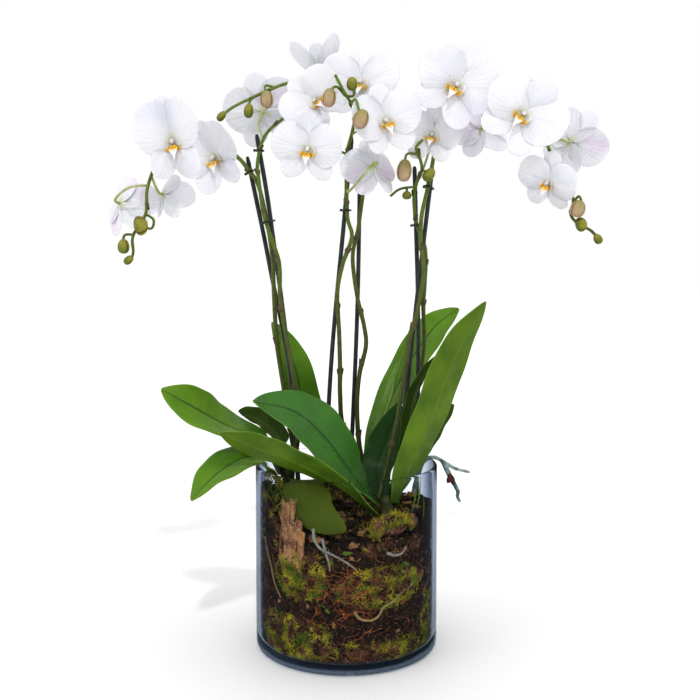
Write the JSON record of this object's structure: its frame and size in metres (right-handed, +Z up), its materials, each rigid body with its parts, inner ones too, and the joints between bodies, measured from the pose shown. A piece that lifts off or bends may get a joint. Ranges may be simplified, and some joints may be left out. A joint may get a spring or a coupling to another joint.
{
  "type": "potted orchid",
  "caption": "Moth orchids with arching flower spikes, white flowers, buds and strap leaves, planted in bark and moss in a clear glass cylinder vase.",
  "frame": {"origin": "centre of the vase's foot, on the surface that it stands on", "axes": "+Z up, -Y towards the front, +X to the right seen from the front"},
  "size_m": [0.5413, 0.2028, 0.6694],
  "materials": {
    "glass": "clear, polished",
    "mix": "dark, damp bark and moss, rough",
    "bark": "rough, fissured bark",
    "moss": "fuzzy yellow-green moss",
    "crown": "satin green stem base",
    "leaf": "waxy, satin green",
    "spike": "satin green to olive stem",
    "petal": "soft white petal with fine veins",
    "stake": "charcoal stained cane, matt",
    "clip": "black, satin",
    "root": "silvery green velamen, matt"
  },
  "bodies": {
    "root": {"glass_vase": "glass", "potting_mix": "mix", "bark_slab": "bark", "moss_mound": "moss", "crown_left": "crown", "crown_right": "crown", "crown_back": "crown", "leaf_left_upper": "leaf", "leaf_left_lower": "leaf", "leaf_front_long": "leaf", "leaf_front_broad": "leaf", "leaf_left_back": "leaf", "leaf_back_upright": "leaf", "leaf_in_vase": "leaf", "leaf_right_tall": "leaf", "leaf_right_under": "leaf", "leaf_back_right": "leaf", "leaf_middle_narrow": "leaf", "leaf_right_broad": "leaf", "leaf_back_small": "leaf", "stake_left_front": "stake", "stake_left_back": "stake", "stake_centre_front": "stake", "stake_centre_back": "stake", "stake_right_back": "stake", "stake_right_front": "stake", "spike_left_front": "spike", "spike_left_back": "spike", "spike_centre_front": "spike", "spike_centre_back": "spike", "spike_right_back": "spike", "spike_right_front": "spike", "flower_01": "petal", "flower_02": "petal", "flower_03": "petal", "flower_04": "petal", "flower_05": "petal", "flower_06": "petal", "flower_07": "petal", "flower_08": "petal", "flower_09": "petal", "flower_10": "petal", "flower_11": "petal", "flower_12": "petal", "flower_13": "petal", "flower_14": "petal", "flower_15": "petal", "flower_16": "petal", "flower_17": "petal", "clip_1": "clip", "clip_2": "clip", "clip_3": "clip", "clip_4": "clip", "clip_5": "clip", "clip_6": "clip", "clip_7": "clip", "aerial_root": "root"}
  },
  "joints": []
}
